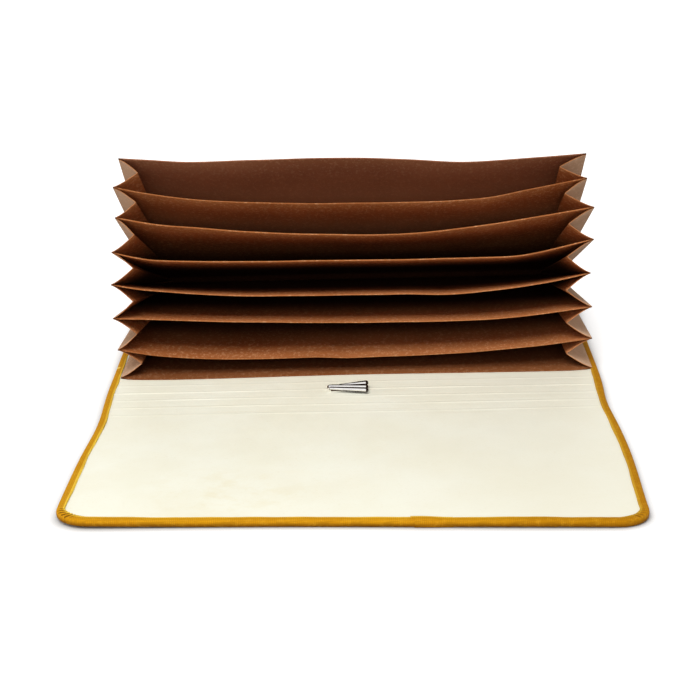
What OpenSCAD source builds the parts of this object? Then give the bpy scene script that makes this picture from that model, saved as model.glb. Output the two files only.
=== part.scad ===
// Accordion coupon wallet, lying open on its back cover with its seven pockets fanned up.
// Millimetres, +Z up. The origin is the middle of the back cover's underside, the pocket
// mouths and the open flap face -Y, and +X is to the right of someone facing the mouths.

/* [Cover] */
// Width of the cover over its binding
cover_w = 190; // [160:1:220]
// Length of the flap from the last score to its front edge
flap_len = 105; // [90:1:130]
// How far the back cover runs on behind the closed end of the pockets
rear_margin = 4; // [1:0.5:12]
// Radius of the cover's four outer corners
corner_r = 8; // [6:0.5:20]
// Thickness of the woven outer skin
skin_t = 0.4; // [0.3:0.05:0.8]
// Thickness of the stiffening board
board_t = 1.2; // [0.8:0.1:2.5]
// Thickness of the coated lining
lining_t = 0.4; // [0.3:0.05:0.8]

/* [Spine] */
// Distance from the pocket mouths to the first score
first_score = 10.8; // [8:0.2:20]
// Distance from one score to the next
score_pitch = 8.8; // [8:0.1:11]
// Width of the slot between two strips at a fold
fold_gap = 0.2; // [0.1:0.05:0.5]
// Depth of the plain score that doesn't fold
score_depth = 0.15; // [0.05:0.05:0.3]
// Width of the plain score that doesn't fold
score_w = 0.6; // [0.3:0.1:1]

/* [Binding] */
// Thickness of the binding tape
tape_t = 0.4; // [0.3:0.05:0.8]
// How far the tape turns in over the lining and the skin
tape_lap = 2.4; // [2:0.1:4]
// Gap between the skin's cut edge and the tape that is turned in under the board
skin_gap = 0.2; // [0.1:0.05:0.5]
// How far the turned-in tape stops short of each fold
tape_relief = 0.4; // [0.3:0.05:1]
// How far the tape's underside stays above the surface that the cover lies on
tape_lift = 0.05; // [0.05:0.05:0.15]
// Length of the patch where the tape's two ends overlap
lap_len = 12; // [6:1:30]
// Middle of that patch, measured along X from the middle of the flap
lap_x = 20; // [-40:1:40]

/* [Accordion] */
// Gap between the panels' side edges and the turned-in tape
panel_edge_gap = 0.1; // [0.1:0.1:8]
// Gap between the back panel's rear corners and the tape round the cover's corners
corner_clear = 0.1; // [0.05:0.05:0.3]
// Depth of the pockets from mouth to closed end
panel_d = 104; // [90:1:120]
// Thickness of a panel
panel_t = 0.45; // [0.3:0.05:0.8]
// Distance from one panel to the next at the closed end
pocket_pitch = 3.2; // [3.15:0.05:3.4]
// Clearance between a pocket's floor and the panel that is hinged over it
hinge_clear = 0.15; // [0.1:0.05:0.4]
// Angle that pocket 1, the highest, stands open
open_1 = 4.3; // [2:0.1:6]
// Angle that pocket 2 stands open
open_2 = 4.9; // [2:0.1:6]
// Angle that pocket 3 stands open
open_3 = 5.4; // [2:0.1:6]
// Angle that pocket 4 stands open
open_4 = 5.4; // [2:0.1:6]
// Angle that pocket 5 stands open
open_5 = 5.5; // [2:0.1:6]
// Angle that pocket 6 stands open
open_6 = 5.1; // [2:0.1:6]
// Angle that pocket 7, the lowest, stands open
open_7 = 4.6; // [2:0.1:6]
// How much further the front panel sags at its mouth than divider 1
sag_front = -6.4; // [-8:0.1:2]
// How much further divider 1 sags than divider 2
sag_1 = 0.5; // [0:0.1:2.2]
// How much further divider 2 sags than divider 3
sag_2 = 2.2; // [0:0.1:2.2]
// How much further divider 3 sags than divider 4
sag_3 = 0; // [0:0.1:2.2]
// How much further divider 4 sags than divider 5
sag_4 = 2; // [0:0.1:2.2]
// How much further divider 5 sags than divider 6
sag_5 = 1.4; // [0:0.1:2.2]
// How far divider 6 sags at the middle of its mouth
sag_6 = 2.2; // [0:0.1:2.2]

/* [Gussets] */
// Width of one leaf of a gusset, from a panel's edge to the inner fold
gusset_leaf = 11; // [9:0.5:18]
// Thickness of the gusset paper
gusset_t = 0.3; // [0.2:0.05:0.5]
// Clearance from a gusset to the panel over it and to the pocket's floor
gusset_clear = 0.3; // [0.2:0.05:0.5]

/* [Clip] */
// Length of the clip's tongue
clip_len = 16; // [12:0.5:20]
// Width of the tongue at its free end
clip_w = 7.5; // [5:0.1:9]
// Width of the tongue at its sprung end
clip_root_w = 3.4; // [2:0.1:5]
// Middle of the clip, measured along X from the middle of the cover
clip_x = -2.6; // [-20:0.1:20]
// How far the clip's middle lies in front of the plain score
clip_offset = 1.6; // [0:0.1:3]
// Height of the tongue's ribs over its own underside at the free end
clip_rib_h = 1.7; // [1:0.1:2.5]
// Height of the ribs at the sprung end
clip_root_h = 1; // [0.6:0.1:1.5]
// Thickness of the tongue's metal at the rim of the lobes
clip_rim_t = 0.4; // [0.3:0.05:0.8]
// Wall of the rolled end, outside the space that it leaves under the tongue
clip_roll_wall = 0.5; // [0.3:0.05:0.8]
// Running clearance between the tongue and the rolled end
clip_roll_clear = 0.2; // [0.1:0.05:0.4]
// How far the base plate ends short of the tongue's lobes
clip_base_short = 2; // [1:0.5:4]
// Thickness of the clip's base plate
clip_base_t = 0.4; // [0.3:0.05:0.8]
// Space that the tongue leaves over the base plate
clip_gap = 0.3; // [0.2:0.05:0.6]
// Radius of the rivet that holds the base plate
rivet_r = 1; // [0.6:0.05:1.4]
// Radial clearance of the rivet in its hole
rivet_clear = 0.05; // [0.03:0.01:0.1]
// Radius of the rivet's head, sunk in the underside of the strip
rivet_head_r = 2; // [1.8:0.1:3]
// Thickness of the rivet's head
rivet_head_t = 0.3; // [0.2:0.05:0.3]

/* [Hidden] */
$fn = 48;

// Pockets and panels are counted from the top: panel 0 is the front panel, panel 7 the back one.
pocket_count = 7;
pocket_open = [0, open_1, open_2, open_3, open_4, open_5, open_6, open_7];
sag_step = [sag_front, sag_1, sag_2, sag_3, sag_4, sag_5, sag_6, 0];

cover_t = skin_t + board_t + lining_t;
half_w = cover_w / 2;
panel_w = cover_w - 2 * (tape_lap + panel_edge_gap);
back_len = first_score + panel_d + rear_margin;
rear_y = back_len / 2;
closed_y = rear_y - rear_margin;
score_y = -rear_y;
front_y = score_y - 4 * score_pitch - flap_len;
board_inset = tape_t;
skin_inset = tape_lap + skin_gap;
through = 1;

// The curve of a mouth is fuller than a circle's arc, so the paper hangs flat in the middle.
sag_power = 2.3;
panel_facets = 12;
// Steps along a gusset, whose two leaves turn a little from the closed end to the mouth
gusset_facets = 8;

// Angle of a panel above the back cover
function tilt(k) = k >= pocket_count ? 0 : tilt(k + 1) + pocket_open[k + 1];
// Sag of a panel at the middle of its mouth
function sag(k) = k >= pocket_count ? 0 : sag(k + 1) + sag_step[k];
// Hinge of a panel at the closed end, as [y, z]
function hinge(k) = k >= pocket_count
  ? [closed_y, cover_t]
  : hinge(k + 1) + pocket_pitch * [sin(tilt(k + 1)), cos(tilt(k + 1))];
// Share of the sag at a distance across the panel: 0 at the sides, 1 in the middle
function sag_share(x) = 1 - pow(abs(2 * x / panel_w), sag_power);

// Brings a piece modelled flat, its hinge on the X axis and its mouth towards -Y, to its place
module on_panel(k) {
  translate([0, hinge(k)[0], hinge(k)[1]]) rotate([-tilt(k), 0, 0]) children();
}

// Flat plate between two Y values, whose corners at one end are round
module rounded_plate(half, y_square, y_round, r, z_low, z_high) {
  toward = sign(y_round - y_square);
  y_centre = y_round - toward * r;
  translate([0, 0, z_low]) linear_extrude(z_high - z_low) union() {
    translate([-half, min(y_square, y_centre)]) square([2 * half, abs(y_centre - y_square)]);
    translate([-(half - r), min(y_square, y_round)])
      square([2 * (half - r), abs(y_round - y_square)]);
    for (side = [-1, 1]) translate([side * (half - r), y_centre]) circle(r);
  }
}

// One layer of a cover leaf, drawn in from the outline by an inset
module leaf_layer(y_fold, y_end, inset, z_low, z_high) {
  toward = sign(y_end - y_fold);
  rounded_plate(half_w - inset, y_fold + toward * fold_gap / 2, y_end - toward * inset,
    corner_r - inset, z_low, z_high);
}

// Tape folded over three edges of a cover leaf: an upper leg, an edge and a lower leg
module leaf_tape(y_fold, y_end) {
  toward = sign(y_end - y_fold);
  difference() {
    leaf_layer(y_fold, y_end, 0, tape_lift, cover_t + tape_t);
    rounded_plate(half_w - tape_t, y_fold - toward * through, y_end - toward * tape_t,
      corner_r - tape_t, skin_t, cover_t);
    rounded_plate(half_w - tape_lap, y_fold - toward * through, y_end - toward * tape_lap,
      corner_r - tape_lap, -through, cover_t + tape_t + through);
    // The turned-in leg stops short of the fold, which closes on that side
    translate([-half_w - through, y_fold - through, cover_t])
      cube([cover_w + 2 * through, through + tape_relief, tape_t + through]);
    translate([-half_w - through, y_fold - tape_relief, cover_t])
      cube([cover_w + 2 * through, through + tape_relief, tape_t + through]);
  }
}

module back_cover_skin() {
  color("goldenrod") leaf_layer(score_y, rear_y, skin_inset, 0, skin_t);
}
module back_cover_board() {
  color("tan") leaf_layer(score_y, rear_y, board_inset, skin_t, skin_t + board_t);
}
module back_cover_lining() {
  color("ivory") leaf_layer(score_y, rear_y, board_inset, skin_t + board_t, cover_t);
}
module back_cover_tape() {
  color("goldenrod") leaf_tape(score_y, rear_y);
}

flap_fold_y = score_y - 4 * score_pitch;

module flap_skin() {
  color("goldenrod") leaf_layer(flap_fold_y, front_y, skin_inset, 0, skin_t);
}
module flap_board() {
  color("tan") leaf_layer(flap_fold_y, front_y, board_inset, skin_t, skin_t + board_t);
}
module flap_lining() {
  color("ivory") leaf_layer(flap_fold_y, front_y, board_inset, skin_t + board_t, cover_t);
}
module flap_tape() {
  color("goldenrod") leaf_tape(flap_fold_y, front_y);
}
// The tape's loose end, laid over its other end at the front edge
module flap_tape_lap() {
  color("darkgoldenrod")
    translate([lap_x - lap_len / 2, front_y + tape_t, cover_t + tape_t])
      cube([lap_len, tape_lap - tape_t, tape_t]);
}

// Strips between the folds, as [first score, last score] counted from the back cover
strip_scores = [[0, 2], [2, 3], [3, 4]];
function strip_back(i) = score_y - strip_scores[i - 1][0] * score_pitch - fold_gap / 2;
function strip_front(i) = score_y - strip_scores[i - 1][1] * score_pitch + fold_gap / 2;

module strip_block(i, half, z_low, z_high, relief) {
  translate([-half, strip_front(i) + relief, z_low])
    cube([2 * half, strip_back(i) - strip_front(i) - 2 * relief, z_high - z_low]);
}

// Skin, board and lining of one strip, pressed into a single stiff web between two scores
module spine_strip(i) {
  difference() {
    union() {
      strip_block(i, half_w - board_inset, skin_t, cover_t, 0);
      strip_block(i, half_w - skin_inset, 0, skin_t, 0);
    }
    if (i == 1) {
      // Plain score under the clip, which keeps it from folding
      translate([-half_w, score_y - score_pitch - score_w / 2, cover_t - score_depth])
        cube([cover_w, score_w, score_depth + through]);
      // Hole for the rivet and the sinking for its head
      translate([clip_x, clip_y, -through])
        cylinder(r = rivet_r + rivet_clear, h = cover_t + 2 * through);
      translate([clip_x, clip_y, -through])
        cylinder(r = rivet_head_r + rivet_clear, h = through + skin_t);
    }
  }
}
module spine_strip_1() { color("ivory") spine_strip(1); }
module spine_strip_2() { color("ivory") spine_strip(2); }
module spine_strip_3() { color("ivory") spine_strip(3); }

module spine_tape(i) {
  difference() {
    union() {
      strip_block(i, half_w, tape_lift, cover_t, 0);
      strip_block(i, half_w, cover_t, cover_t + tape_t, tape_relief);
    }
    strip_block(i, half_w - tape_t, skin_t, cover_t, -through);
    strip_block(i, half_w - tape_lap, -through, cover_t + tape_t + through, -through);
  }
}
module spine_tape_1() { color("goldenrod") spine_tape(1); }
module spine_tape_2() { color("goldenrod") spine_tape(2); }
module spine_tape_3() { color("goldenrod") spine_tape(3); }

// The clip stands across the strip that has the plain score
clip_y = score_y - score_pitch - clip_offset;
clip_root_x = clip_x - clip_len / 2;
tongue_z = cover_t + clip_base_t + clip_gap;
clip_roll_r = (clip_base_t + clip_gap) / 2 + clip_roll_wall;
clip_ribs = [-1, 0, 1];
// Neighbouring ribs run into each other a little, as pressed flutes do
rib_overlap = 0.95;

// Base plate with the rolled end that the tongue springs from
module clip_base() {
  color("silver") difference() {
    union() {
      translate([clip_root_x + clip_roll_r, clip_y - clip_root_w / 2, cover_t])
        cube([clip_len - clip_roll_r - clip_base_short, clip_root_w, clip_base_t]);
      translate([clip_root_x + clip_roll_r, clip_y + clip_root_w / 2, cover_t + clip_roll_r])
        rotate([90, 0, 0]) cylinder(r = clip_roll_r, h = clip_root_w);
    }
    translate([clip_x, clip_y, 0]) cylinder(r = rivet_r + rivet_clear, h = tongue_z);
  }
}
// Rivet through the strip, its head sunk in the underside
module clip_rivet() {
  color("silver") translate([clip_x, clip_y, skin_t - rivet_head_t]) union() {
    cylinder(r = rivet_head_r, h = rivet_head_t);
    cylinder(r = rivet_r, h = board_t + lining_t + clip_base_t + rivet_head_t);
  }
}
// Tongue with three ribs that spread from the sprung end to three round lobes
module clip_tongue() {
  // Three circles side by side, each overlapping the next, span the stated widths
  span = 2 + 4 * rib_overlap;
  lobe_r = clip_w / span;
  root_r = clip_root_w / span;
  crown_r = lobe_r * 0.62;
  x_root = clip_root_x + 2 * clip_roll_r + clip_roll_clear + root_r;
  x_lobe = clip_root_x + clip_len - lobe_r;
  color("silver") translate([0, clip_y, tongue_z]) for (rib = clip_ribs) hull() {
    translate([x_root, rib * root_r * 2 * rib_overlap, 0])
      cylinder(r = root_r, h = clip_root_h, $fn = 24);
    translate([x_lobe, rib * lobe_r * 2 * rib_overlap, 0])
      cylinder(r = lobe_r, h = clip_rim_t, $fn = 24);
    translate([x_lobe, rib * lobe_r * 2 * rib_overlap, clip_rib_h - crown_r])
      sphere(r = crown_r, $fn = 16);
  }
}

// Two triangles for a panel's four corners: two at the closed end, then two at the mouth. Their
// shared side leans away from the panel's middle, which leaves the panel flat beside the gussets.
function split(closed_a, closed_b, mouth_a, mouth_b, mirrored) = mirrored
  ? [[closed_a, mouth_a, closed_b], [closed_b, mouth_a, mouth_b]]
  : [[closed_a, mouth_a, mouth_b], [closed_a, mouth_b, closed_b]];

// Thin panel that is flat at the closed end and sags to its full drop at the mouth
module sagging_panel(drop) {
  m = panel_facets + 1;
  xs = [for (i = [0 : panel_facets]) -panel_w / 2 + panel_w * i / panel_facets];
  points = concat(
    [for (x = xs) [x, 0, 0]],
    [for (x = xs) [x, -panel_d, -drop * sag_share(x)]],
    [for (x = xs) [x, 0, panel_t]],
    [for (x = xs) [x, -panel_d, panel_t - drop * sag_share(x)]]
  );
  strips = [0 : panel_facets - 1];
  middle = panel_facets / 2;
  bottom = [for (i = strips) each split(i, i + 1, m + i, m + i + 1, i < middle)];
  top = [for (i = strips) each
    split(2 * m + i + 1, 2 * m + i, 3 * m + i + 1, 3 * m + i, i >= middle)];
  closed_edge = [for (i = strips) each [[i, i + 1, 2 * m + i + 1], [i, 2 * m + i + 1, 2 * m + i]]];
  mouth_edge = [for (i = strips) each [
    [m + i + 1, m + i, 3 * m + i], [m + i + 1, 3 * m + i, 3 * m + i + 1]]];
  sides = [
    [m, 0, 2 * m], [m, 2 * m, 3 * m],
    [m - 1, 2 * m - 1, 4 * m - 1], [m - 1, 4 * m - 1, 3 * m - 1]
  ];
  polyhedron(points, concat(top, bottom, closed_edge, mouth_edge, sides));
}

// The back panel is glued to the lining, and its rear corners follow the turned-in tape
module back_panel() {
  tape_clear = tape_lap + corner_clear;
  color("saddlebrown") intersection() {
    on_panel(7) translate([-panel_w / 2, -panel_d, 0]) cube([panel_w, panel_d, panel_t]);
    rounded_plate(half_w - tape_clear, score_y, rear_y - tape_clear, corner_r - tape_clear,
      cover_t - through, cover_t + panel_t + through);
  }
}
module divider_6() { color("saddlebrown") on_panel(6) sagging_panel(sag(6)); }
module divider_5() { color("saddlebrown") on_panel(5) sagging_panel(sag(5)); }
module divider_4() { color("saddlebrown") on_panel(4) sagging_panel(sag(4)); }
module divider_3() { color("saddlebrown") on_panel(3) sagging_panel(sag(3)); }
module divider_2() { color("saddlebrown") on_panel(2) sagging_panel(sag(2)); }
module divider_1() { color("saddlebrown") on_panel(1) sagging_panel(sag(1)); }
module front_panel() { color("saddlebrown") on_panel(0) sagging_panel(sag(0)); }

// Strip that closes a pocket's end, standing on the panel below the pocket
module pocket_floor(i) {
  color("sienna") on_panel(i)
    translate([-panel_w / 2, -panel_t, panel_t])
      cube([panel_w, panel_t, pocket_pitch - panel_t - hinge_clear]);
}
module pocket_floor_7() { pocket_floor(7); }
module pocket_floor_6() { pocket_floor(6); }
module pocket_floor_5() { pocket_floor(5); }
module pocket_floor_4() { pocket_floor(4); }
module pocket_floor_3() { pocket_floor(3); }
module pocket_floor_2() { pocket_floor(2); }
module pocket_floor_1() { pocket_floor(1); }

// Height of a gusset over the panel that it stands on, at a distance from the hinge
function gusset_h(i, r) = pocket_pitch - panel_t - gusset_clear + r * tan(pocket_open[i]);
// How far its inner fold lies in from the panel's edge there
function gusset_inset(i, r) = sqrt(pow(gusset_leaf, 2) - pow(gusset_h(i, r) / 2, 2));
// Thickness of a leaf measured across the panel
function gusset_across(i, r) = gusset_t * gusset_leaf / (gusset_h(i, r) / 2);
// The folded paper's section there: outer faces first, then inner faces
function gusset_section(i, r, side) = let (
    edge = panel_w / 2,
    h = gusset_h(i, r),
    fold = edge - gusset_inset(i, r),
    across = gusset_across(i, r)
  ) [
    [side * edge, -r, panel_t],
    [side * fold, -r, panel_t + h / 2],
    [side * edge, -r, panel_t + h],
    [side * (edge - across), -r, panel_t + h],
    [side * (fold - across), -r, panel_t + h / 2],
    [side * (edge - across), -r, panel_t]
  ];

// Pleat that joins two panels at one side, folded inwards
module gusset(i, side) {
  r_closed = panel_t + gusset_clear;
  r_mouth = panel_d * cos(pocket_open[i]) - gusset_clear;
  r_step = (r_mouth - r_closed) / gusset_facets;
  points = [for (k = [0 : gusset_facets]) each gusset_section(i, r_closed + k * r_step, side)];
  around = [for (k = [0 : gusset_facets - 1], j = [0 : 5]) each
    let (a = 6 * k + j, b = 6 * k + (j + 1) % 6) [[a, a + 6, b], [b, a + 6, b + 6]]];
  last = 6 * gusset_facets;
  ends = [
    [0, 1, 4, 5], [1, 2, 3, 4],
    [last, last + 5, last + 4, last + 1], [last + 1, last + 4, last + 3, last + 2]
  ];
  faces = concat(around, ends);
  color("tan") on_panel(i)
    polyhedron(points, side > 0 ? faces : [for (f = faces) [for (j = [len(f) - 1 : -1 : 0]) f[j]]]);
}
module gusset_left_7() { gusset(7, -1); }
module gusset_left_6() { gusset(6, -1); }
module gusset_left_5() { gusset(5, -1); }
module gusset_left_4() { gusset(4, -1); }
module gusset_left_3() { gusset(3, -1); }
module gusset_left_2() { gusset(2, -1); }
module gusset_left_1() { gusset(1, -1); }
module gusset_right_7() { gusset(7, 1); }
module gusset_right_6() { gusset(6, 1); }
module gusset_right_5() { gusset(5, 1); }
module gusset_right_4() { gusset(4, 1); }
module gusset_right_3() { gusset(3, 1); }
module gusset_right_2() { gusset(2, 1); }
module gusset_right_1() { gusset(1, 1); }

back_cover_skin();
back_cover_board();
back_cover_lining();
back_cover_tape();
spine_strip_1();
spine_strip_2();
spine_strip_3();
spine_tape_1();
spine_tape_2();
spine_tape_3();
flap_skin();
flap_board();
flap_lining();
flap_tape();
flap_tape_lap();
clip_base();
clip_rivet();
clip_tongue();
back_panel();
divider_6();
divider_5();
divider_4();
divider_3();
divider_2();
divider_1();
front_panel();
pocket_floor_7();
pocket_floor_6();
pocket_floor_5();
pocket_floor_4();
pocket_floor_3();
pocket_floor_2();
pocket_floor_1();
gusset_left_7();
gusset_left_6();
gusset_left_5();
gusset_left_4();
gusset_left_3();
gusset_left_2();
gusset_left_1();
gusset_right_7();
gusset_right_6();
gusset_right_5();
gusset_right_4();
gusset_right_3();
gusset_right_2();
gusset_right_1();
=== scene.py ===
from math import atan2, cos, exp, pi, radians, sin, sqrt

import bmesh
import bpy
from mathutils import Matrix, Vector
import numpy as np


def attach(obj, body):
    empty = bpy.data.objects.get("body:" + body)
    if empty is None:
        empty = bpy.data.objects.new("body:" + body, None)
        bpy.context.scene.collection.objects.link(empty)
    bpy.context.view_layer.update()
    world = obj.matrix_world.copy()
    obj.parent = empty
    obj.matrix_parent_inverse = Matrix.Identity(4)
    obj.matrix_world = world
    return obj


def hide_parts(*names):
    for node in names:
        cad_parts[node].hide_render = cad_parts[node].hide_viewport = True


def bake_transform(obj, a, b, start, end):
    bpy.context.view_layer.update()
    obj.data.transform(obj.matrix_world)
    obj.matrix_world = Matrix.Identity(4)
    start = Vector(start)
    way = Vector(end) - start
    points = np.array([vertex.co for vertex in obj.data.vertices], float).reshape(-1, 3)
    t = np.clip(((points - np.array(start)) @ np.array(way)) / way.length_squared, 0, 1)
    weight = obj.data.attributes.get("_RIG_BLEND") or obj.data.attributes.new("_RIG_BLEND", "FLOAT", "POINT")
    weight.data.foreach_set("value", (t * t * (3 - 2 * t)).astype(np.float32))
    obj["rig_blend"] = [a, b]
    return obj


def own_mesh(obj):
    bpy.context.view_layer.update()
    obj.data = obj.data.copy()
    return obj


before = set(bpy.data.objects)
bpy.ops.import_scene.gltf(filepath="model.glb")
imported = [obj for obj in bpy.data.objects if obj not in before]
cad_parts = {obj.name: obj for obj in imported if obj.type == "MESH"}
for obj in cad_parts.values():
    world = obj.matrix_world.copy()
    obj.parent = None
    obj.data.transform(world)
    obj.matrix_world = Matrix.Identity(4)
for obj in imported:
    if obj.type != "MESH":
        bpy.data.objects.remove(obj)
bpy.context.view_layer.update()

scene = bpy.context.scene
scene.view_settings.view_transform = "Standard"
MM = 0.001


# Table, lamps and camera
# The wallet lies on a plain pale table top. Soft lamps light it from above, in front,
# both sides and behind, and metal mirrors a white room in place of the lamps. The
# camera looks down at it from a little over table height.

def colour(r, g, b):
    """Linear colour of a shade that is given as it looks on a screen."""
    return tuple((c / 3294.6 if c <= 10 else ((c / 255 + 0.055) / 1.055) ** 2.4) for c in (r, g, b)) + (1.0,)


def put(tree, kind, inputs=(), **settings):
    """A new node, with its settings, and with values or links on its inputs."""
    node = tree.nodes.new(kind)
    for name, value in settings.items():
        setattr(node, name, value)
    for socket, value in dict(inputs).items():
        if isinstance(value, bpy.types.NodeSocket):
            tree.links.new(value, node.inputs[socket])
        else:
            node.inputs[socket].default_value = value
    return node


def combined(tree, operation, a, b, **settings):
    """The result of one operation on two values."""
    return put(tree, "ShaderNodeMath", {0: a, 1: b}, operation=operation, **settings).outputs[0]


def place_on(tree):
    """The place of a point on the piece itself."""
    return put(tree, "ShaderNodeTexCoord").outputs["Object"]


def seen_ray(tree):
    """1 on rays from the camera, and on those that metal mirrors or glass lets through, 0 on the rest."""
    path = put(tree, "ShaderNodeLightPath").outputs
    seen = combined(tree, "MAXIMUM", path["Is Camera Ray"], path["Is Glossy Ray"])
    return combined(tree, "MAXIMUM", seen, path["Is Transmission Ray"])


def finished(bm, name, materials, smooth=True):
    """The object of a mesh that was drawn in millimetres."""
    bmesh.ops.scale(bm, vec=(MM, MM, MM), verts=bm.verts[:])
    mesh = bpy.data.meshes.new(name)
    for face in bm.faces:
        face.smooth = smooth
    for edge in bm.edges:
        edge.smooth = edge.calc_face_angle(0) < radians(65)
    bm.to_mesh(mesh)
    bm.free()
    for material in materials:
        mesh.materials.append(material)
    piece = bpy.data.objects.new(name, mesh)
    scene.collection.objects.link(piece)
    return piece


table_paint = bpy.data.materials.new("table_paint")
table_paint.use_nodes = True
tree = table_paint.node_tree
tree.nodes.clear()
grain = put(tree, "ShaderNodeTexNoise", {"Scale": 40.0, "Detail": 3.0})
tint = put(tree, "ShaderNodeValToRGB", {"Fac": grain.outputs["Fac"]})
tint.color_ramp.elements[0].color = (0.49, 0.49, 0.49, 1)
tint.color_ramp.elements[1].color = (0.53, 0.53, 0.53, 1)
lit = put(tree, "ShaderNodeBsdfDiffuse", {"Color": tint.outputs["Color"]})
# the table's own white grows away from the wallet, and a painted contact shadow, taken from ambient
# occlusion, darkens it close to what stands on it
outward = put(tree, "ShaderNodeVectorMath", {0: place_on(tree)}, operation="LENGTH").outputs["Value"]
pale = put(tree, "ShaderNodeMapRange", {0: outward, 1: 0.24, 2: 0.5, 3: 0.76, 4: 1.0}).outputs[0]
floor_contact_shade = put(tree, "ShaderNodeAmbientOcclusion", {"Distance": 0.010}, samples=16).outputs["AO"]
pale = combined(tree, "MULTIPLY", pale, combined(tree, "POWER", floor_contact_shade, 3.4))
pale = combined(tree, "MULTIPLY", pale, seen_ray(tree))
glow = put(tree, "ShaderNodeEmission", {"Color": (1, 1, 1, 1), "Strength": pale})
both = put(tree, "ShaderNodeAddShader", {0: lit.outputs[0], 1: glow.outputs[0]})
put(tree, "ShaderNodeOutputMaterial", {"Surface": both.outputs[0]})

bm = bmesh.new()
bmesh.ops.create_grid(bm, x_segments=8, y_segments=8, size=3000)
table_top = finished(bm, "table_top", [table_paint])

world = bpy.data.worlds.new("studio")
scene.world = world
world.use_nodes = True
tree = world.node_tree
tree.nodes.clear()
room = put(tree, "ShaderNodeBackground", {"Color": (1.0, 0.985, 0.96, 1), "Strength": 0.16})
white = put(tree, "ShaderNodeBackground", {"Color": (1, 1, 1, 1), "Strength": 1.0})
choice = put(tree, "ShaderNodeMixShader", {0: seen_ray(tree), 1: room.outputs[0], 2: white.outputs[0]})
put(tree, "ShaderNodeOutputWorld", {"Surface": choice.outputs[0]})


def soft_lamp(name, place, target, size, watts):
    """A rectangular lamp that faces its target, and that metal doesn't mirror."""
    lamp = bpy.data.lights.new(name, "AREA")
    lamp.shape = "RECTANGLE"
    lamp.size, lamp.size_y = size
    lamp.energy = watts
    lamp.color = (1.0, 0.99, 0.97)
    holder = bpy.data.objects.new(name, lamp)
    scene.collection.objects.link(holder)
    holder.visible_glossy = False
    holder.location = place
    holder.rotation_mode = "QUATERNION"
    holder.rotation_quaternion = (Vector(target) - Vector(place)).to_track_quat("-Z", "Y")


# Each lamp's name, place, target, size and watts
soft_lamp("lamp_over", (-0.22, -0.72, 1.17), (0.0, -0.06, 0.0), (0.9, 1.05), 13.8)
soft_lamp("lamp_lips", (-0.15, -1.04, 0.96), (0.0, -0.05, 0.04), (0.9, 0.12), 3.2)
soft_lamp("lamp_front", (-0.1, -1.60, 0.52), (0.0, -0.05, 0.04), (1.4, 0.42), 8.2)
soft_lamp("lamp_left", (-1.1, -0.1, 0.30), (0.0, 0.0, 0.04), (0.6, 0.5), 2.8)
soft_lamp("lamp_right", (1.1, -0.1, 0.30), (0.0, 0.0, 0.04), (0.6, 0.5), 2.2)
soft_lamp("lamp_back", (0.25, 1.15, 0.70), (0.0, 0.0, 0.03), (0.9, 0.4), 2.4)

camera_data = bpy.data.cameras.new("camera")
camera_data.lens = 95.076
camera_data.sensor_width = 36.0
camera_data.clip_start = 0.05
camera_data.clip_end = 20.0
camera = bpy.data.objects.new("camera", camera_data)
scene.collection.objects.link(camera)
scene.camera = camera
pitch, yaw, roll = radians(17.194), radians(-1.0193), radians(-1.5070)
ahead = Vector((sin(yaw) * cos(pitch), cos(yaw) * cos(pitch), -sin(pitch)))
level = Vector((cos(yaw), -sin(yaw), 0))
upright = level.cross(ahead)
across = cos(roll) * level + sin(roll) * upright
upward = -sin(roll) * level + cos(roll) * upright
placed = Matrix((across, upward, -ahead)).transposed().to_4x4()
placed.translation = Vector((10.608, -738.926, 225.166)) * MM
camera.matrix_world = placed


# Lining
# Ivory coated paper glued over the whole inner side of the cover, from the back leaf
# over the spine to the flap. Five scores cross it where the cover wraps round the
# pockets, and handling has left a faint stain near the flap's front edge.

# Sizes in millimetres: y runs from the flap's front edge, below 0, to the rear edge
half_width = 95.0
rear_edge = 59.4
front_edge = -199.6
front_corner = 11.0
rear_corner = 8.0
# Radius of the front and the rear corners, where their round starts, and which way it faces
corners = ((front_corner, front_edge + front_corner, -1), (rear_corner, rear_edge - rear_corner, 1))
# The pressed lines, and those of them at which the cover folds
scores = (-59.4, -68.2, -77.0, -85.8, -94.6)
folds = (-59.4, -77.0, -85.8, -94.6)
parts = ("back_cover", "spine_1", "spine_2", "spine_3", "flap")
# Where a length of lining, skin or tape meets the next one, half way between two folds
joins = (-68.2, -81.4, -90.2)
lining_top = 2.0
lining_inset = 0.6
lining_thickness = 0.4
# How far the sides have crept out, or in below 0: by how much, where along them, over what length
left_wander = ((1.5, -104, 27), (-0.2, -172, 30), (-0.5, -10, 26))
right_wander = ((-1.2, -90, 20), (0.35, -140, 18), (-0.75, -188, 20))


def bump(x, middle, width):
    """A round hump, 1 at its middle."""
    return exp(-(((x - middle) / width) ** 2))


def smooth_step(value, low, high):
    """0 up to low, 1 from high, and a soft passage between."""
    share = min(1.0, max(0.0, (value - low) / (high - low)))
    return share * share * (3 - 2 * share)


def handled(x, y, z):
    """Where a point of the flat cover lies after years of use: the sides wander, the flap is a
    little askew, and its left front corner stands up."""
    share = min(1.0, abs(x) / half_width) ** 3
    creeps = left_wander if x < 0 else right_wander
    wander = sum(size * bump(y, middle, width) for size, middle, width in creeps)
    along = smooth_step(-y, 4 - folds[3], -front_edge)
    askew = along * (-2.2 - 0.042 * x + 1.5 * bump(x, -22, 62))
    lift = 0.7 * bump(x, -95, 34) * bump(y, front_edge, 30) + 0.25 * bump(x, 60, 30) * bump(y, front_edge, 22)
    return Vector((x + share * wander, y + askew, z + lift))


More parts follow.
